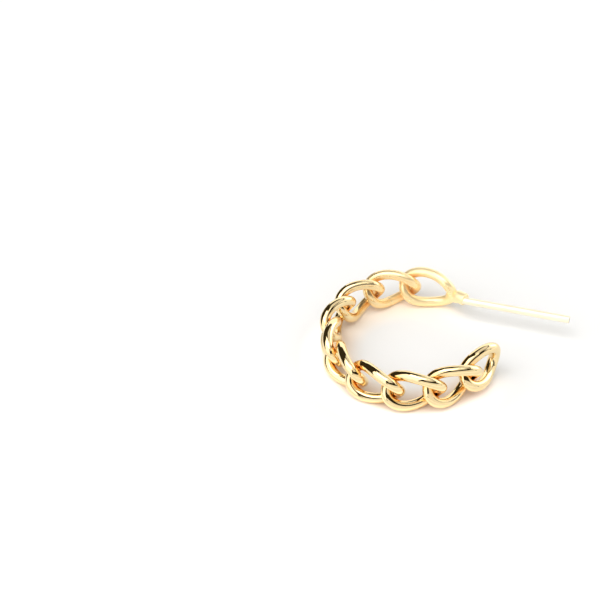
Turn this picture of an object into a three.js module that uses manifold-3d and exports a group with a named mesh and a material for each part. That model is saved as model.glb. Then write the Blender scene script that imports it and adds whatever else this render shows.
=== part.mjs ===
// Curb chain hoop earring with a straight ear post, lying on its side.
// Millimetres, +Z up. +Z is the hoop's axis and +X is the way the ear post points.
// The origin is the middle of the underside of the earring's bounding box.

import * as THREE from 'three';
import { mergeVertices } from 'three/addons/utils/BufferGeometryUtils.js';
import Module from 'manifold-3d';

const { degToRad, lerp, smoothstep } = THREE.MathUtils;

// Hoop: the circle that the middles of the links lie on, counted from the post link to the free end.
const HOOP_RADIUS = 8.1;
const LINK_COUNT = 10;
const LINK_PITCH = degToRad(27.8);
const POST_LINK_ANGLE = degToRad(92.9);

// Link: an oval of round wire, bent along the hoop and twisted so that it passes through its neighbours.
const WIRE_RADIUS = 0.53;
const LINK_HALF_LENGTH = 2.62;
const LINK_HALF_HEIGHT = 1.7;
const LINK_TWIST = degToRad(36);
const OVAL_POWER = 2.3;

// The post link's outer half has no neighbour to pass through.
const POST_LINK_TRAILING_TWIST = degToRad(18);

// The free end link is lower than the rest, and its outer half is straight, nearly upright and thicker.
const END_LINK_HALF_HEIGHT = 1.44;
const END_LINK_TRAILING_TWIST = degToRad(40);
const END_LINK_LEADING_TWIST = degToRad(4);
const END_LINK_STRAIGHT_LENGTH = 2.34;
const END_LINK_OUTER_WIRE_RADIUS = 0.6;
// It thickens between these places, where -1 is the link's trailing end and 1 its leading end.
const SWELL_START = -0.3;
const SWELL_END = 0.5;

// Collar: the soldered stub between the post link and the ear post, along a circle inside the hoop's.
const COLLAR_ANGLE = degToRad(67.5);
const COLLAR_CIRCLE_RADIUS = 8.05;
const COLLAR_RADIUS = 0.65;
const COLLAR_INNER_LENGTH = 1.1;
const COLLAR_OUTER_LENGTH = 0.75;
const COLLAR_CHAMFER = 0.12;

// Solder: the drop that ran down into the corner between the collar and the end of the post link.
const SOLDER_HALF_LENGTH = 1.02;
const SOLDER_RADIUS = 0.54;
const SOLDER_BEHIND = 0.75;
const SOLDER_BELOW = 0.38;

// Ear post: a straight round wire along +X with a flat cut tip, from the hoop's centre.
const POST_RADIUS = 0.375;
const POST_OFFSET_Y = 7;
const POST_START_X = 3.5;
const POST_TIP_X = 14.4;

// Facets.
const LINK_STEPS = 36;
const WIRE_SIDES = 12;
const POST_SIDES = 16;
const SOLDER_RINGS = 10;

const goldColour = new THREE.Color(0.93, 0.72, 0.38);

function goldMaterial(roughness) {
  return new THREE.MeshStandardMaterial({ color: goldColour, roughness, metalness: 1 });
}

// A signed power keeps each quarter of the oval on its own side.
function signedPower(value, power) {
  return Math.sign(value) * Math.abs(value) ** power;
}

// The centre line of a link whose middle is on the hoop's circle at angle 0.
// A leading twist turns the top of the link outwards at its far end, and the same trailing twist turns it
// inwards at its near end, so that neighbouring links cross and pass through each other.
class LinkCurve extends THREE.Curve {
  constructor(shape) {
    super();
    this.halfHeight = shape.halfHeight ?? LINK_HALF_HEIGHT;
    this.trailingTwist = shape.trailingTwist ?? LINK_TWIST;
    this.leadingTwist = shape.leadingTwist ?? LINK_TWIST;
    this.straightLength = shape.straightLength ?? 0;
  }

  getPoint(t, target = new THREE.Vector3()) {
    const turn = 2 * Math.PI * t;
    const along = signedPower(Math.cos(turn), 2 / OVAL_POWER);
    const across = this.halfHeight * signedPower(Math.sin(turn), 2 / OVAL_POWER);
    const twist = lerp(-this.trailingTwist, this.leadingTwist, (1 + along) / 2);
    const radius = HOOP_RADIUS + across * Math.sin(twist);
    const height = across * Math.cos(twist);
    if (along > 0 && this.straightLength > 0) {
      return target.set(radius, along * this.straightLength, height);
    }
    const angle = along * LINK_HALF_LENGTH / HOOP_RADIUS;
    return target.set(radius * Math.cos(angle), radius * Math.sin(angle), height);
  }
}

function linkGeometry(shape) {
  return new THREE.TubeGeometry(new LinkCurve(shape), LINK_STEPS, WIRE_RADIUS, WIRE_SIDES, true);
}

// Each ring of the link's wire is scaled about its own centre, up to the outer radius at the leading end.
function swellWire(link, shape, outerRadius) {
  const curve = new LinkCurve(shape);
  const position = link.getAttribute('position');
  const sidesPerRing = WIRE_SIDES + 1;
  for (let index = 0; index < position.count; index += 1) {
    const ring = Math.floor(index / sidesPerRing);
    const centre = curve.getPointAt(ring / LINK_STEPS);
    const swell = smoothstep(centre.y / shape.straightLength, SWELL_START, SWELL_END);
    const scale = lerp(1, outerRadius / WIRE_RADIUS, swell);
    const vertex = new THREE.Vector3().fromBufferAttribute(position, index);
    vertex.sub(centre).multiplyScalar(scale).add(centre);
    position.setXYZ(index, vertex.x, vertex.y, vertex.z);
  }
  return link;
}

// A closed bar of revolution about +X, from the profile's [x, radius] points.
function turnedBar(profile) {
  const points = profile.map(([x, radius]) => new THREE.Vector2(radius, x));
  return new THREE.LatheGeometry(points, POST_SIDES).rotateZ(-Math.PI / 2);
}

// Puts a bar that lies along +X on the collar's line, which runs along its circle, away from the post link.
function onCollarLine(bar) {
  return bar.translate(0, COLLAR_CIRCLE_RADIUS, 0).rotateZ(COLLAR_ANGLE - Math.PI / 2);
}

function collarGeometry() {
  const bar = turnedBar([
    [-COLLAR_INNER_LENGTH, 0],
    [-COLLAR_INNER_LENGTH, COLLAR_RADIUS],
    [COLLAR_OUTER_LENGTH - COLLAR_CHAMFER, COLLAR_RADIUS],
    [COLLAR_OUTER_LENGTH, COLLAR_RADIUS - COLLAR_CHAMFER],
    [COLLAR_OUTER_LENGTH, 0],
  ]);
  return onCollarLine(bar);
}

function solderGeometry() {
  const drop = new THREE.SphereGeometry(1, POST_SIDES, SOLDER_RINGS).rotateZ(Math.PI / 2);
  drop.scale(SOLDER_HALF_LENGTH, SOLDER_RADIUS, SOLDER_RADIUS);
  return onCollarLine(drop.translate(-SOLDER_BEHIND, 0, -SOLDER_BELOW));
}

function postGeometry() {
  const bar = turnedBar([
    [POST_START_X, 0],
    [POST_START_X, POST_RADIUS],
    [POST_TIP_X, POST_RADIUS],
    [POST_TIP_X, 0],
  ]);
  return bar.translate(0, POST_OFFSET_Y, 0);
}

const wasm = await Module();
wasm.setup();

function toSolid(geometry) {
  geometry.deleteAttribute('normal');
  geometry.deleteAttribute('uv');
  const merged = mergeVertices(geometry, 1e-5);
  return new wasm.Manifold(new wasm.Mesh({
    numProp: 3,
    vertProperties: new Float32Array(merged.attributes.position.array),
    triVerts: new Uint32Array(merged.index.array),
  }));
}

function toGeometry(solid) {
  const mesh = solid.getMesh();
  const geometry = new THREE.BufferGeometry();
  geometry.setAttribute('position', new THREE.BufferAttribute(mesh.vertProperties, 3));
  geometry.setIndex(new THREE.BufferAttribute(mesh.triVerts, 1));
  geometry.computeVertexNormals();
  return geometry;
}

// The first link, the collar, the solder and the ear post are one solid.
function postLink() {
  const link = linkGeometry({ trailingTwist: POST_LINK_TRAILING_TWIST }).rotateZ(POST_LINK_ANGLE);
  const others = [collarGeometry(), solderGeometry(), postGeometry()];
  const solid = others.reduce((joined, geometry) => joined.add(toSolid(geometry)), toSolid(link));
  const mesh = new THREE.Mesh(toGeometry(solid), goldMaterial(0.08));
  mesh.name = 'post_link';
  return mesh;
}

function placedLink(name, index, geometry) {
  const mesh = new THREE.Mesh(geometry, goldMaterial(0.06));
  mesh.name = name;
  mesh.rotation.z = POST_LINK_ANGLE + index * LINK_PITCH;
  return mesh;
}

function chainLink(index) {
  return placedLink(`link_${index + 1}`, index, linkGeometry({}));
}

function endLink() {
  const shape = {
    halfHeight: END_LINK_HALF_HEIGHT,
    trailingTwist: END_LINK_TRAILING_TWIST,
    leadingTwist: END_LINK_LEADING_TWIST,
    straightLength: END_LINK_STRAIGHT_LENGTH,
  };
  const geometry = swellWire(linkGeometry(shape), shape, END_LINK_OUTER_WIRE_RADIUS);
  return placedLink('end_link', LINK_COUNT - 1, geometry);
}

const hoop = new THREE.Group();
hoop.add(postLink());
for (let index = 1; index < LINK_COUNT - 1; index += 1) {
  hoop.add(chainLink(index));
}
hoop.add(endLink());

const box = new THREE.Box3().setFromObject(hoop, true);
const middle = box.getCenter(new THREE.Vector3());
hoop.position.set(-middle.x, -middle.y, -box.min.z);

const earring = new THREE.Group();
earring.add(hoop);

export default earring;
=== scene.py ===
import math

import bmesh
import bpy
from mathutils import Matrix, Vector
from mathutils.bvhtree import BVHTree


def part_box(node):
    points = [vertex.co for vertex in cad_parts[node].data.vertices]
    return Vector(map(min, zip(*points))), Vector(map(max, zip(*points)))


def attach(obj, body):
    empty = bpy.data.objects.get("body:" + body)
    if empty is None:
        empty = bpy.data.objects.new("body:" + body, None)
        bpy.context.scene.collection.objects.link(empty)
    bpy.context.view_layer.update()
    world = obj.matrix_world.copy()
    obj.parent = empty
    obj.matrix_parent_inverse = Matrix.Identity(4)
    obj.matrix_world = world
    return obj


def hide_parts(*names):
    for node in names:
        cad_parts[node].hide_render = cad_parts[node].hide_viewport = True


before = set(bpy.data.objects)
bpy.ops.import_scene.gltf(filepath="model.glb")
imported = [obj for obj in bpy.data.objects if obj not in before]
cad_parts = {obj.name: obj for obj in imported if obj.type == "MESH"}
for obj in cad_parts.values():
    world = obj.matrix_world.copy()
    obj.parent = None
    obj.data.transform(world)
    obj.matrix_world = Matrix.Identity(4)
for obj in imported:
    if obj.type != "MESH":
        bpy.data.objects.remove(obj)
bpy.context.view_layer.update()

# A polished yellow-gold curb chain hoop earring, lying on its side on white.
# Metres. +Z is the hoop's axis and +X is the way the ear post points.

MM = 0.001

# ---------------------------------------------------------------- sizes

# The hoop: the circle that the middles of the links lie on. Angles round it are counted from +X.
HOOP_RADIUS = 8.1 * MM
LINK_COUNT = 10
LINK_PITCH = math.radians(27.8)
POST_LINK_ANGLE = math.radians(92.9)

# Round wire, a hair under the solid's so that its smooth outline stays within the solid's facets.
WIRE_RADIUS = 0.52 * MM
LINK_HALF_LENGTH = 2.62 * MM
LINK_HALF_HEIGHT = 1.7 * MM
LINK_TWIST = math.radians(36)
OVAL_POWER = 2.3

# The post link's outer half has no neighbour to pass through.
POST_LINK_TRAILING_TWIST = math.radians(18)

# The free end link is lower than the rest. Its outer half is straight, nearly upright and thicker.
END_LINK_HALF_HEIGHT = 1.44 * MM
END_LINK_TRAILING_TWIST = math.radians(40)
END_LINK_LEADING_TWIST = math.radians(4)
END_LINK_STRAIGHT_LENGTH = 2.34 * MM
END_LINK_OUTER_WIRE_RADIUS = 0.59 * MM
# It thickens between these places, where -1 is the link's trailing end and 1 its leading end.
SWELL_START = -0.3
SWELL_END = 0.5

# The soldered collar, on a circle just inside the hoop's. Its flare goes from the solder to its
# full width: how far along from its inner end, and the share of its radius there.
COLLAR_ANGLE = math.radians(67.5)
COLLAR_CIRCLE_RADIUS = 8.05 * MM
COLLAR_RADIUS = 0.64 * MM
COLLAR_INNER_LENGTH = 1.1 * MM
COLLAR_OUTER_LENGTH = 0.75 * MM
COLLAR_CORNER = 0.16 * MM
COLLAR_FLARE = ((0.55 * MM, 0.80), (0.75 * MM, 0.97), (0.95 * MM, 1.0))

# The solder: a drop in the corner between the collar and the end of the first link.
SOLDER_HALF_LENGTH = 1.0 * MM
SOLDER_RADIUS = 0.52 * MM
SOLDER_BEHIND = 0.75 * MM
SOLDER_BELOW = 0.38 * MM
SEAM_ANGLE = math.radians(35)

# The ear post, along +X. Its even lengths end just short of the tip, whose edge is rounded.
POST_RADIUS = 0.37 * MM
POST_OFFSET_Y = 7.0 * MM
POST_START_X = 3.4 * MM
POST_TIP_X = 14.4 * MM
POST_TIP_LENGTH = 0.1 * MM
POST_CORNER = 0.04 * MM

# The hoop's centre, found from the ear post's tip and from the links' height.
HOOP_CENTRE_Y = 0.077 * MM
_, post_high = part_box("post_link")
link_low, link_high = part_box("link_5")
HOOP_CENTRE = Vector(
    (post_high.x - POST_TIP_X, HOOP_CENTRE_Y, (link_low.z + link_high.z) / 2)
)

# How finely the pieces are divided.
OVAL_POINTS = 360
WIRE_STEPS = 144
WIRE_SIDES = 36
COLLAR_SIDES = 64
SOLDER_STEPS = 32
POST_SIDES = 48
POST_LENGTHS = 24
CORNER_STEPS = 6

# ---------------------------------------------------------------- node writing


class Signal:
    """A node socket that takes Python arithmetic and adds its Math nodes."""

    def __init__(self, bench, socket):
        self.bench = bench
        self.socket = socket

    def _math(self, operation, *values, **settings):
        sockets = dict(enumerate(values))
        return self.bench.add("ShaderNodeMath", {"operation": operation, **settings}, sockets)

    def __add__(self, other):
        return self._math("ADD", self, other)

    def __radd__(self, other):
        return self._math("ADD", other, self)

    def __sub__(self, other):
        return self._math("SUBTRACT", self, other)

    def __rsub__(self, other):
        return self._math("SUBTRACT", other, self)

    def __mul__(self, other):
        return self._math("MULTIPLY", self, other)

    def __rmul__(self, other):
        return self._math("MULTIPLY", other, self)

    def __truediv__(self, other):
        return self._math("DIVIDE", self, other)

    def __rtruediv__(self, other):
        return self._math("DIVIDE", other, self)

    def __pow__(self, other):
        return self._math("POWER", self, other)

    def __rpow__(self, other):
        return self._math("POWER", other, self)

    def sin(self):
        return self._math("SINE", self)

    def cos(self):
        return self._math("COSINE", self)

    def sign(self):
        return self._math("SIGN", self)

    def size(self):
        return self._math("ABSOLUTE", self)

    def above(self, other):
        return self._math("GREATER_THAN", self, other)

    def clamped(self):
        return self._math("ADD", self, 0.0, use_clamp=True)


class Bench:
    """A node tree with one way to add a node: its type, its settings, then its sockets."""

    def __init__(self, tree):
        self.tree = tree

    def add(self, node_type, settings=None, sockets=None, output=0):
        node = self.tree.nodes.new(node_type)
        for name, value in (settings or {}).items():
            setattr(node, name, value)
        for key, value in (sockets or {}).items():
            if isinstance(value, Signal):
                self.tree.links.new(value.socket, node.inputs[key])
            else:
                node.inputs[key].default_value = value
        return Signal(self, node.outputs[output]) if len(node.outputs) else None

    def out(self, signal, name):
        return Signal(self, signal.socket.node.outputs[name])

    def split(self, vector):
        """The x, y and z of a vector."""
        parts = self.add("ShaderNodeSeparateXYZ", None, {0: vector})
        return [self.out(parts, axis) for axis in "XYZ"]

    def smooth_step(self, value, low, high):
        sockets = {"Value": value, "From Min": low, "From Max": high}
        return self.add("ShaderNodeMapRange", {"interpolation_type": "SMOOTHSTEP"}, sockets)

    def mix_colours(self, factor, first, second):
        """Each colour is a signal or a (red, green, blue)."""
        ends = [end if isinstance(end, Signal) else (*end, 1.0) for end in (first, second)]
        sockets = {0: factor, 6: ends[0], 7: ends[1]}
        return self.add("ShaderNodeMix", {"data_type": "RGBA"}, sockets, output=2)

    def noise(self, where, scale, detail, roughness=0.5):
        sockets = {"Vector": where, "Scale": scale, "Detail": detail, "Roughness": roughness}
        return self.add("ShaderNodeTexNoise", {"noise_dimensions": "3D"}, sockets)


def blank_material(name):
    """A material without nodes, its bench, and the signal for where a point of the piece is."""
    material = bpy.data.materials.new(name)
    material.use_nodes = True
    material.node_tree.nodes.clear()
    bench = Bench(material.node_tree)
    return material, bench, bench.out(bench.add("ShaderNodeTexCoord"), "Object")


def add_object(name, data):
    piece = bpy.data.objects.new(name, data)
    bpy.context.scene.collection.objects.link(piece)
    return piece


# ---------------------------------------------------------------- gold finishes

BRIGHT_GOLD = (0.92, 0.735, 0.415)
# Painted light: a paler, brighter gold for the rear links and the collar.
REAR_PAINTED_LIGHT_GOLD = (1.0, 0.815, 0.465)
# Painted light: the ear post's pale, brightened gold.
POST_PAINTED_LIGHT_GOLD = (0.99, 0.89, 0.68)
# The deeper tone: painted shade and inter-reflection in the nooks, a painted warm glow on the rear
# links, and random clouds.
DEEP_GOLD = (0.93, 0.48, 0.12)
# Painted light: the paler gold that the collar turns to towards the post.
SOLDER_PAINTED_LIGHT_GOLD = (1.0, 0.82, 0.5)
# Painted shade: the dark brown of the post's cut end face.
TIP_PAINTED_SHADE_GOLD = (0.3, 0.2, 0.1)

# Where the polish turns from mirror-bright to soft, across the hoop towards the post. There the
# colour is also painted paler and brighter, as painted light.
SOFT_START_Y = 2.0 * MM
SOFT_END_Y = 9.5 * MM

# The side that the earring lies on is a little duller.
UNDERSIDE_LOW = 0.6 * MM
UNDERSIDE_HIGH = 2.0 * MM

# The patterns' scales, per metre, and how finely each is broken up.
CLOUD_SCALE = 420.0
CLOUD_DETAIL = 3.0
HAZE_SCALE = 900.0
HAZE_DETAIL = 4.0
HAZE_ROUGHNESS = 0.6
RIPPLE_SCALE = 650.0
RIPPLE_DETAIL = 1.0
WIPING_TURN = (0.3, 0.2, 0.5)
WIPING_SCALE = (9000.0, 1400.0, 9000.0)
WIPING_DETAIL = 4.0
WIPING_ROUGHNESS = 0.65

# What each adds to the deeper tone. In the nooks this is painted shade and inter-reflection, and
# the clouds vary it at random.
NOOK_PAINTED_SHADE = 0.7
CLOUD_TONE = 0.4

# What each adds to the roughness.
HAZE_DULLNESS = 0.04
WIPING_DULLNESS = 0.02
NOOK_DULLNESS = 0.02
UNDERSIDE_DULLNESS = 0.03

# The relief, in which the wiping lines are this share of the ripples' depth.
WIPING_RELIEF = 0.008
RELIEF_STRENGTH = 0.25
RELIEF_DEPTH = 0.03 * MM


def polished_gold(name, bright, soft, roughness, soft_roughness, satin, painted_warmth=0.0):
    """Gold plate from a polishing mop: ripples, fine wiping lines, and a deeper tone in the nooks
    that is painted shade and inter-reflection.

    Towards the soldered post it turns from bright to soft, and to a satin that scatters some of
    the light. The paler, brighter colour there is painted light. The warmth is the share of the
    deeper tone there, a painted warm glow.
    """
    material, bench, where = blank_material(name)
    _, y, z = bench.split(where)
    softness_and_painted_light = bench.smooth_step(y, SOFT_START_Y, SOFT_END_Y)
    underside = 1.0 - bench.smooth_step(z, UNDERSIDE_LOW, UNDERSIDE_HIGH)
    nook = bench.out(bench.add("ShaderNodeAttribute", {"attribute_name": "nook"}), "Fac")

    clouds = bench.noise(where, CLOUD_SCALE, CLOUD_DETAIL)
    # Painted shade and inter-reflection in the nooks, a painted warm glow towards the post, and
    # random clouds.
    tone = nook * NOOK_PAINTED_SHADE + softness_and_painted_light * painted_warmth + (clouds - 0.5) * CLOUD_TONE
    # Painted light: the colour turns paler and brighter towards the post.
    body = bench.mix_colours(softness_and_painted_light, bright, soft)
    colour = bench.mix_colours(tone.clamped(), body, DEEP_GOLD)

    wiping = bench.add(
        "ShaderNodeMapping",
        {"vector_type": "POINT"},
        {"Vector": where, "Rotation": WIPING_TURN, "Scale": WIPING_SCALE},
    )
    lines = bench.noise(wiping, 1.0, WIPING_DETAIL, WIPING_ROUGHNESS)
    haze = bench.noise(where, HAZE_SCALE, HAZE_DETAIL, HAZE_ROUGHNESS)
    polish = roughness + softness_and_painted_light * (soft_roughness - roughness)
    uneven = polish + (haze - 0.5) * HAZE_DULLNESS + (lines - 0.5) * WIPING_DULLNESS
    dullness = uneven + nook * NOOK_DULLNESS + underside * UNDERSIDE_DULLNESS

    ripple = bench.noise(where, RIPPLE_SCALE, RIPPLE_DETAIL)
    relief = bench.add(
        "ShaderNodeBump",
        None,
        {
            "Strength": RELIEF_STRENGTH,
            "Distance": RELIEF_DEPTH,
            "Height": ripple + lines * WIPING_RELIEF,
        },
    )

    gold = bench.add(
        "ShaderNodeBsdfPrincipled",
        None,
        {
            "Base Color": colour,
            "Metallic": 1.0 - softness_and_painted_light * satin,
            "Roughness": dullness.clamped(),
            "Normal": relief,
        },
    )
    bench.add("ShaderNodeOutputMaterial", None, {"Surface": gold})
    return material


# Painted warm glow: the deeper tone spreads over the rear links of the chain.
link_gold = polished_gold(
    "link_gold", BRIGHT_GOLD, REAR_PAINTED_LIGHT_GOLD, roughness=0.05, soft_roughness=0.34, satin=0.4, painted_warmth=0.25
)
first_link_gold = polished_gold(
    "first_link_gold", BRIGHT_GOLD, REAR_PAINTED_LIGHT_GOLD, roughness=0.05, soft_roughness=0.34, satin=0.4
)
collar_gold = polished_gold(
    "collar_gold", REAR_PAINTED_LIGHT_GOLD, SOLDER_PAINTED_LIGHT_GOLD, roughness=0.24, soft_roughness=0.4, satin=0.4
)
# The post's paler colour is painted light.
post_gold = polished_gold(
    "post_gold", POST_PAINTED_LIGHT_GOLD, POST_PAINTED_LIGHT_GOLD, roughness=0.3, soft_roughness=0.46, satin=0.42
)
# The post's end face is painted dark as painted shade.
tip_painted_shade_gold = polished_gold(
    "tip_painted_shade_gold", TIP_PAINTED_SHADE_GOLD, TIP_PAINTED_SHADE_GOLD, roughness=0.4, soft_roughness=0.4, satin=0.0
)

# ---------------------------------------------------------------- links

LINK_SOCKETS = (
    ("Count", "NodeSocketInt"),
    ("First Angle", "NodeSocketFloat"),
    ("Pitch", "NodeSocketFloat"),
    ("Hoop Radius", "NodeSocketFloat"),
    ("Half Length", "NodeSocketFloat"),
    ("Half Height", "NodeSocketFloat"),
    ("Oval Power", "NodeSocketFloat"),
    ("Trailing Twist", "NodeSocketFloat"),
    ("Leading Twist", "NodeSocketFloat"),
    ("Straight Length", "NodeSocketFloat"),
    ("Wire Radius", "NodeSocketFloat"),
    ("Outer Wire Radius", "NodeSocketFloat"),
    ("Wire Steps", "NodeSocketInt"),
    ("Wire Sides", "NodeSocketInt"),
    ("Hoop Centre", "NodeSocketVector"),
    ("Finish", "NodeSocketMaterial"),
)


def link_tree():
    """A run of twisted oval links round the hoop, from one centre line swept with round wire."""
    tree = bpy.data.node_groups.new("curb_links", "GeometryNodeTree")
    for name, kind in LINK_SOCKETS:
        tree.interface.new_socket(name=name, in_out="INPUT", socket_type=kind)
    tree.interface.new_socket(name="Geometry", in_out="OUTPUT", socket_type="NodeSocketGeometry")
    bench = Bench(tree)
    sizes = bench.add("NodeGroupInput")

    def size(name):
        return bench.out(sizes, name)

    def circle(points):
        sockets = {"Resolution": points, "Radius": 1.0}
        return bench.add("GeometryNodeCurvePrimitiveCircle", None, sockets)

    # The oval: a unit circle whose quarters are squared up by the oval power.
    lengthwise, upright, _ = bench.split(bench.add("GeometryNodeInputPosition"))
    squareness = 2.0 / size("Oval Power")
    along = lengthwise.sign() * lengthwise.size() ** squareness
    across = size("Half Height") * upright.sign() * upright.size() ** squareness

    # The twist runs evenly from the trailing end to the leading end.
    ahead = (along + 1.0) * 0.5
    twist = ahead * (size("Leading Twist") + size("Trailing Twist")) - size("Trailing Twist")
    radius = size("Hoop Radius") + across * twist.sin()
    height = across * twist.cos()

    # The link is bent along the hoop. A straight length, where it has one, is its leading half.
    bend = along * size("Half Length") / size("Hoop Radius")
    bent_x = radius * bend.cos()
    bent_y = radius * bend.sin()
    straight = along.above(0.0) * size("Straight Length").above(0.0)
    x = bent_x + (radius - bent_x) * straight
    y = bent_y + (along * size("Straight Length") - bent_y) * straight
    centre_line = bench.add("ShaderNodeCombineXYZ", None, {0: x, 1: y, 2: height})
    line = bench.add(
        "GeometryNodeSetPosition", None, {"Geometry": circle(OVAL_POINTS), "Position": centre_line}
    )

    # The wire thickens towards the leading end.
    swell = bench.smooth_step(along, SWELL_START, SWELL_END)
    thickness = size("Wire Radius") + (size("Outer Wire Radius") - size("Wire Radius")) * swell
    shaped = bench.add("GeometryNodeSetCurveRadius", None, {"Curve": line, "Radius": thickness})
    even = bench.add(
        "GeometryNodeResampleCurve", None, {"Curve": shaped, "Count": size("Wire Steps")}
    )
    link = bench.add(
        "GeometryNodeCurveToMesh",
        None,
        {
            "Curve": even,
            "Profile Curve": circle(size("Wire Sides")),
            "Scale": bench.add("GeometryNodeInputRadius"),
        },
    )

    # One link for each place round the hoop.
    places = bench.add(
        "GeometryNodePoints", None, {"Count": size("Count"), "Position": size("Hoop Centre")}
    )
    angle = size("First Angle") + bench.add("GeometryNodeInputIndex") * size("Pitch")
    turn = bench.add("ShaderNodeCombineXYZ", None, {2: angle})
    rotation = bench.add("FunctionNodeEulerToRotation", None, {0: turn})
    chain = bench.add(
        "GeometryNodeInstanceOnPoints",
        None,
        {"Points": places, "Instance": link, "Rotation": rotation},
    )
    solid = bench.add("GeometryNodeRealizeInstances", None, {"Geometry": chain})
    smooth = bench.add("GeometryNodeSetShadeSmooth", None, {"Geometry": solid})
    finished = bench.add(
        "GeometryNodeSetMaterial", None, {"Geometry": smooth, "Material": size("Finish")}
    )
    bench.add("NodeGroupOutput", None, {"Geometry": finished})
    return tree


CURB_LINKS = link_tree()


def links(name, first, count, finish, **shape):
    """A plain mesh of `count` links, the first at place `first` round the hoop.

    A shape's words are the tree's inputs in lower case, such as half_height for Half Height.
    """
    values = {
        "Count": count,
        "First Angle": POST_LINK_ANGLE + first * LINK_PITCH,
        "Pitch": LINK_PITCH,
        "Hoop Radius": HOOP_RADIUS,
        "Half Length": LINK_HALF_LENGTH,
        "Half Height": LINK_HALF_HEIGHT,
        "Oval Power": OVAL_POWER,
        "Trailing Twist": LINK_TWIST,
        "Leading Twist": LINK_TWIST,
        "Straight Length": 0.0,
        "Wire Radius": WIRE_RADIUS,
        "Outer Wire Radius": WIRE_RADIUS,
        "Wire Steps": WIRE_STEPS,
        "Wire Sides": WIRE_SIDES,
        "Hoop Centre": HOOP_CENTRE,
        "Finish": finish,
    }
    values.update({key.replace("_", " ").title(): value for key, value in shape.items()})
    maker = add_object(name + "_maker", bpy.data.meshes.new(name + "_maker"))
    modifier = maker.modifiers.new("links", "NODES")
    modifier.node_group = CURB_LINKS
    for item in CURB_LINKS.interface.items_tree:
        if item.in_out == "INPUT":
            modifier[item.identifier] = values[item.name]
    evaluated = maker.evaluated_get(bpy.context.evaluated_depsgraph_get())
    mesh = bpy.data.meshes.new_from_object(evaluated)
    bpy.data.objects.remove(maker)
    mesh.name = name
    return add_object(name, mesh)


# ---------------------------------------------------------------- collar and ear post


def turned(name, profile, sides, place, *finishes):
    """A closed bar of revolution about its own +X, from (x, radius) points.

    The first finish is the bar's, and the last one is its far end's.
    """
    turns = [2 * math.pi * side / sides for side in range(sides)]
    bar = bmesh.new()
    rings = []
    for x, radius in profile:
        ring = [(x, radius * math.cos(turn), radius * math.sin(turn)) for turn in turns]
        rings.append([bar.verts.new(point) for point in ring])
    for near, far in zip(rings, rings[1:]):
        for side in range(sides):
            after = (side + 1) % sides
            bar.faces.new((near[side], near[after], far[after], far[side]))
    bar.faces.new(list(reversed(rings[0])))
    bar.faces.new(rings[-1]).material_index = len(finishes) - 1
    bmesh.ops.recalc_face_normals(bar, faces=bar.faces)
    bar.transform(place)
    mesh = bpy.data.meshes.new(name)
    bar.to_mesh(mesh)
    bar.free()
    for finish in finishes:
        mesh.materials.append(finish)
    mesh.shade_smooth()
    return add_object(name, mesh)


def rounded_end(x, radius, corner):
    """The (x, radius) points of a bar's end at x, with its corner rounded off."""
    turns = [math.pi / 2 * step / CORNER_STEPS for step in range(CORNER_STEPS + 1)]
    return [
        (x - corner + corner * math.sin(turn), radius - corner + corner * math.cos(turn))
        for turn in turns
    ]


def on_collar_line(behind=0.0, below=0.0):
    """The place of a bar along the collar's line, at a distance behind and below the collar."""
    return (
        Matrix.Translation(HOOP_CENTRE)
        @ Matrix.Rotation(COLLAR_ANGLE - math.pi / 2, 4, "Z")
        @ Matrix.Translation((-behind, COLLAR_CIRCLE_RADIUS, -below))
    )


def collar():
    """The soldered stub: it flares where the solder runs out on to the link."""
    flare = [(along - COLLAR_INNER_LENGTH, COLLAR_RADIUS * share) for along, share in COLLAR_FLARE]
    profile = flare + rounded_end(COLLAR_OUTER_LENGTH, COLLAR_RADIUS, COLLAR_CORNER)
    return turned("collar", profile, COLLAR_SIDES, on_collar_line(), collar_gold)


def solder_flow():
    """The solder that ran down into the corner between the collar and the end of the link."""
    turns = [math.pi * (step + 0.5) / SOLDER_STEPS for step in range(SOLDER_STEPS)]
    profile = [
        (-SOLDER_HALF_LENGTH * math.cos(turn), SOLDER_RADIUS * math.sin(turn)) for turn in turns
    ]
    place = on_collar_line(SOLDER_BEHIND, SOLDER_BELOW)
    return turned("solder", profile, COLLAR_SIDES, place, collar_gold)


def ear_post():
    """The straight wire, whose cut end is rougher and painted dark brown, a painted shade."""
    step = (POST_TIP_X - POST_START_X - POST_TIP_LENGTH) / POST_LENGTHS
    shaft = [(POST_START_X + index * step, POST_RADIUS) for index in range(POST_LENGTHS)]
    profile = shaft + rounded_end(POST_TIP_X, POST_RADIUS, POST_CORNER)
    place = Matrix.Translation(HOOP_CENTRE + Vector((0, POST_OFFSET_Y, 0)))
    return turned("ear_post", profile, POST_SIDES, place, post_gold, tip_painted_shade_gold)


def soldered(name, pieces):
    """One closed skin over the pieces, with a crease where they meet."""
    first = pieces[0]
    for other in pieces[1:]:
        join = first.modifiers.new("solder", "BOOLEAN")
        join.operation = "UNION"
        join.solver = "EXACT"
        join.object = other
        join.material_mode = "TRANSFER"
    evaluated = first.evaluated_get(bpy.context.evaluated_depsgraph_get())
    mesh = bpy.data.meshes.new_from_object(evaluated)
    for piece in pieces:
        bpy.data.objects.remove(piece)
    mesh.name = name
    mesh.shade_smooth()
    mesh.set_sharp_from_angle(angle=SEAM_ANGLE)
    return add_object(name, mesh)


# ---------------------------------------------------------------- nooks

# How far from the next link a nook starts, and how steeply it deepens.
NOOK_REACH = 1.0 * MM
NOOK_POWER = 1.5


def joined_points(seed):
    """The indices of the points that edges join to `seed`, with its own."""
    joined = {seed.index}
    queue = [seed]
    while queue:
        point = queue.pop()
        for edge in point.link_edges:
            other = edge.other_vert(point)
            if other.index not in joined:
                joined.add(other.index)
                queue.append(other)
    return joined


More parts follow.
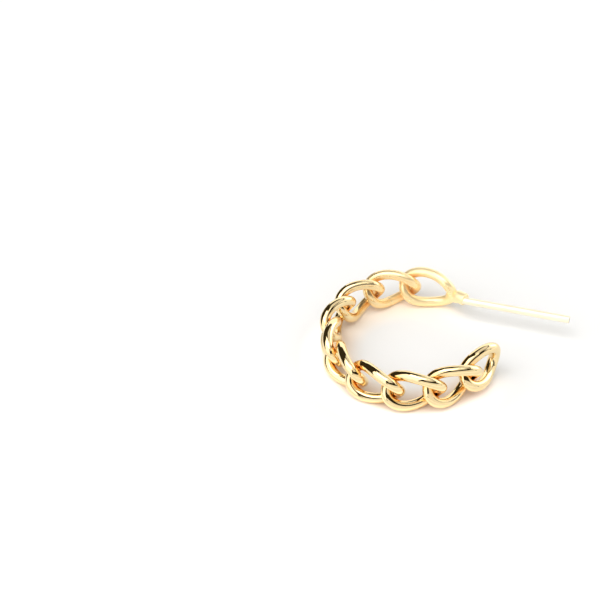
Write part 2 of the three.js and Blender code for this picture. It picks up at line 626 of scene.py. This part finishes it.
def closed_skins(piece):
    """For each closed skin of the piece, the indices of its points and a search tree of it."""
    skin = bmesh.new()
    skin.from_mesh(piece.data)
    places = [point.co.copy() for point in skin.verts]
    faces = [[point.index for point in face.verts] for face in skin.faces]
    skins = []
    seen = set()
    for seed in skin.verts:
        if seed.index not in seen:
            joined = joined_points(seed)
            seen |= joined
            own_faces = [face for face in faces if face[0] in joined]
            skins.append((joined, BVHTree.FromPolygons(places, own_faces)))
    skin.free()
    return skins


def mark_nooks(pieces):
    """Stores how near each point is to the next link. There the gold is painted deeper as shade and
    inter-reflection, and is rougher.
    """
    skins = [(piece, *skin) for piece in pieces for skin in closed_skins(piece)]
    depths = {piece.name: [0.0] * len(piece.data.vertices) for piece in pieces}
    for piece, joined, own in skins:
        others = [tree for _, _, tree in skins if tree is not own]
        for index in joined:
            place = piece.data.vertices[index].co
            gaps = [tree.find_nearest(place, NOOK_REACH)[3] for tree in others]
            gap = min((gap for gap in gaps if gap is not None), default=NOOK_REACH)
            depths[piece.name][index] = (1 - gap / NOOK_REACH) ** NOOK_POWER
    for piece in pieces:
        layer = piece.data.attributes.new("nook", "FLOAT", "POINT")
        layer.data.foreach_set("value", depths[piece.name])


# ---------------------------------------------------------------- the earring

chain = links("curb_chain", 1, LINK_COUNT - 2, link_gold)
end = links(
    "free_end_link",
    LINK_COUNT - 1,
    1,
    link_gold,
    half_height=END_LINK_HALF_HEIGHT,
    trailing_twist=END_LINK_TRAILING_TWIST,
    leading_twist=END_LINK_LEADING_TWIST,
    straight_length=END_LINK_STRAIGHT_LENGTH,
    outer_wire_radius=END_LINK_OUTER_WIRE_RADIUS,
)
first_link = links("first_link", 0, 1, first_link_gold, trailing_twist=POST_LINK_TRAILING_TWIST)
post = soldered("first_link_and_post", [first_link, collar(), solder_flow(), ear_post()])
mark_nooks([chain, end, post])

for piece in (chain, end, post):
    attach(piece, "root")
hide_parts(*[f"link_{number}" for number in range(2, LINK_COUNT)])
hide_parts("end_link")
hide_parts("post_link")

# ---------------------------------------------------------------- floor

FLOOR_HALF = 0.25
FLOOR_CORNERS = ((-1, -1), (1, -1), (1, 1), (-1, 1))

# The paper's own white, mottled from one to the other.
DULL_WHITE = (0.82, 0.82, 0.81)
CLEAN_WHITE = (0.86, 0.86, 0.85)
MOTTLE_SCALE = 60.0
MOTTLE_DETAIL = 3.0
PAPER_ROUGHNESS = 0.8
PAPER_SHINE = 0.2

# Painted shade: it is greyer round the hoop, up to this distance from the hoop's centre.
SHADED_WHITE = (0.715, 0.715, 0.71)
SHADE_START = 14.0 * MM
SHADE_END = 45.0 * MM

# Painted light and shade that the gold throws beside the links: where it comes in inside the hoop,
# where the inner tint gives way to the outer one, and where that fades out. Inside at the front it
# is a painted warm shade.
THROWN_START = HOOP_RADIUS - 3.5 * MM
THROWN_FULL = HOOP_RADIUS - 0.8 * MM
THROWN_EDGE = HOOP_RADIUS + 1.2 * MM
THROWN_END = HOOP_RADIUS + 3.6 * MM
FRONT_INNER_TINT = (0.76, 0.63, 0.52)
REAR_INNER_TINT = (0.88, 0.8, 0.71)
LEFT_OUTER_TINT = (1.0, 0.98, 0.96)
RIGHT_OUTER_TINT = (1.0, 0.92, 0.87)

# Where the front turns into the rear and the left into the right, from the hoop's centre.
REAR_START = -3.0 * MM
REAR_END = 5.0 * MM
RIGHT_START = 2.0 * MM
RIGHT_END = 8.0 * MM

# The mouth between the collar and the free end throws no light. The numbers are cosines of the
# angle from its middle.
MOUTH_ANGLE = math.radians(30)
MOUTH_START = 0.6
MOUTH_END = 0.88


def paper():
    """White paper, with painted shade greyer round the hoop and painted warm light and shade beside
    it, where gold lights it.
    """
    material, bench, where = blank_material("white_paper")
    mottle = bench.noise(where, MOTTLE_SCALE, MOTTLE_DETAIL)
    white = bench.mix_colours(mottle, DULL_WHITE, CLEAN_WHITE)

    x, y, _ = bench.split(where)
    aside = x - HOOP_CENTRE.x
    behind = y - HOOP_CENTRE.y
    away = (aside * aside + behind * behind) ** 0.5
    near_hoop = 1.0 - bench.smooth_step(away, SHADE_START, SHADE_END)
    # Painted shade round the hoop.
    shaded = bench.mix_colours(near_hoop, white, SHADED_WHITE)

    rear_side = bench.smooth_step(behind, REAR_START, REAR_END)
    right_side = bench.smooth_step(aside, RIGHT_START, RIGHT_END)
    outside = bench.smooth_step(away, HOOP_RADIUS, THROWN_EDGE)
    inner_tint = bench.mix_colours(rear_side, FRONT_INNER_TINT, REAR_INNER_TINT)
    outer_tint = bench.mix_colours(right_side, LEFT_OUTER_TINT, RIGHT_OUTER_TINT)
    tint = bench.mix_colours(outside, inner_tint, outer_tint)

    coming_in = bench.smooth_step(away, THROWN_START, THROWN_FULL)
    fading_out = bench.smooth_step(away, THROWN_EDGE, THROWN_END)
    towards_mouth = (aside * math.cos(MOUTH_ANGLE) + behind * math.sin(MOUTH_ANGLE)) / away
    in_mouth = bench.smooth_step(towards_mouth, MOUTH_START, MOUTH_END)
    thrown = coming_in * (1.0 - fading_out) * (1.0 - outside * rear_side) * (1.0 - in_mouth)
    # Painted light and shade that the gold throws on the paper.
    colour = bench.mix_colours(thrown, shaded, tint)

    surface = bench.add(
        "ShaderNodeBsdfPrincipled",
        None,
        {"Base Color": colour, "Roughness": PAPER_ROUGHNESS, "Specular IOR Level": PAPER_SHINE},
    )
    bench.add("ShaderNodeOutputMaterial", None, {"Surface": surface})
    return material


floor_mesh = bpy.data.meshes.new("floor")
floor_mesh.from_pydata(
    [(x * FLOOR_HALF, y * FLOOR_HALF, 0.0) for x, y in FLOOR_CORNERS], [], [(0, 1, 2, 3)]
)
floor_mesh.materials.append(paper())
floor = add_object("floor", floor_mesh)

# ---------------------------------------------------------------- camera

VIEW_AZIMUTH = math.radians(22.32)
VIEW_ELEVATION = math.radians(38.12)
VIEW_ROLL = math.radians(3.5)
VIEW_DISTANCE = 115.1 * MM
VIEW_ASIDE = 11.08 * MM
VIEW_BELOW = 3.566 * MM

# These two are in millimetres.
LENS_LENGTH = 69.4
SENSOR_WIDTH = 36.0

NEAREST_SEEN = 0.005
FARTHEST_SEEN = 10.0

forward = Vector(
    (
        -math.sin(VIEW_AZIMUTH) * math.cos(VIEW_ELEVATION),
        math.cos(VIEW_AZIMUTH) * math.cos(VIEW_ELEVATION),
        -math.sin(VIEW_ELEVATION),
    )
)
level = Vector((math.cos(VIEW_AZIMUTH), math.sin(VIEW_AZIMUTH), 0.0))
raised = level.cross(forward)
right = level * math.cos(VIEW_ROLL) - raised * math.sin(VIEW_ROLL)
up = level * math.sin(VIEW_ROLL) + raised * math.cos(VIEW_ROLL)
eye = HOOP_CENTRE - right * VIEW_ASIDE + up * VIEW_BELOW - forward * VIEW_DISTANCE

lens = bpy.data.cameras.new("camera")
lens.lens = LENS_LENGTH
lens.sensor_width = SENSOR_WIDTH
lens.clip_start = NEAREST_SEEN
lens.clip_end = FARTHEST_SEEN
camera = add_object("camera", lens)
camera.matrix_world = (
    Matrix.Translation(eye) @ Matrix((right, up, -forward)).transposed().to_4x4()
)
bpy.context.scene.camera = camera

# ---------------------------------------------------------------- light

# Each light: its name, azimuth and elevation in degrees, distance, width, height and glow.
# Azimuth 0 is over the camera and 90 is to its right.
LIGHTS = (
    ("top_softbox", -32, 79, 0.30, 0.23, 0.19, 2.1),
    ("back_card", 152, 20, 0.30, 0.58, 0.20, 1.32),
    ("right_card", 106, 19, 0.30, 0.26, 0.21, 1.06),
    ("front_card", 28, 13, 0.30, 0.74, 0.15, 0.92),
)

# The gold shows these, and they don't light the paper.
REFLECTED_LIGHTS = (
    ("left_softbox", -53, 36, 0.25, 0.25, 0.35, 1.65),
    ("right_ceiling", 40, 63, 0.30, 0.25, 0.16, 0.85),
    ("rear_ceiling", 120, 58, 0.30, 0.22, 0.17, 0.8),
)

# These light the paper and the satin gold, and the mirror-bright gold doesn't show them.
FILL_LIGHTS = (
    ("left_fill", -69, 35, 0.26, 0.34, 0.36, 2.38),
    ("top_fill", -30, 78, 0.31, 0.22, 0.20, 0.6),
    ("ceiling", 0, 89, 0.35, 0.8, 0.8, 0.27),
    ("front_fill", 20, 38, 0.30, 0.40, 0.24, 1.45),
)

BACKDROP_COLOUR = (1.0, 1.0, 1.0, 1.0)
BACKDROP_GLOW = 1.0
ROOM_COLOUR = (1.0, 0.8, 0.42, 1.0)
ROOM_GLOW = 0.035


def softbox(name, azimuth, elevation, distance, width, height, glow):
    """A rectangular softbox that faces the earring. Glow is how bright its face is."""
    light = bpy.data.lights.new(name, "AREA")
    light.shape = "RECTANGLE"
    light.size = width
    light.size_y = height
    light.energy = glow * math.pi * width * height
    turn = VIEW_AZIMUTH + math.radians(azimuth)
    rise = math.radians(elevation)
    away = Vector(
        (math.sin(turn) * math.cos(rise), -math.cos(turn) * math.cos(rise), math.sin(rise))
    )
    box = add_object(name, light)
    box.location = HOOP_CENTRE + away * distance
    box.rotation_euler = away.to_track_quat("Z", "Y").to_euler()
    box.visible_camera = False
    return box


for light_row in LIGHTS:
    softbox(*light_row)
for light_row in REFLECTED_LIGHTS:
    softbox(*light_row).visible_diffuse = False
for light_row in FILL_LIGHTS:
    softbox(*light_row).visible_glossy = False

# The camera sees a white backdrop, and the gold and the paper see a dim warm room.
world = bpy.data.worlds.get("World") or bpy.data.worlds.new("World")
bpy.context.scene.world = world
world.use_nodes = True
world.node_tree.nodes.clear()
sky = Bench(world.node_tree)
backdrop = sky.add(
    "ShaderNodeBackground", None, {"Color": BACKDROP_COLOUR, "Strength": BACKDROP_GLOW}
)
room = sky.add("ShaderNodeBackground", None, {"Color": ROOM_COLOUR, "Strength": ROOM_GLOW})
seen_directly = sky.out(sky.add("ShaderNodeLightPath"), "Is Camera Ray")
both = sky.add("ShaderNodeMixShader", None, {0: seen_directly, 1: room, 2: backdrop})
sky.add("ShaderNodeOutputWorld", None, {"Surface": both})

bpy.context.scene.view_settings.view_transform = "Standard"

# ---------------------------------------------------------------- end

bpy.context.view_layer.update()
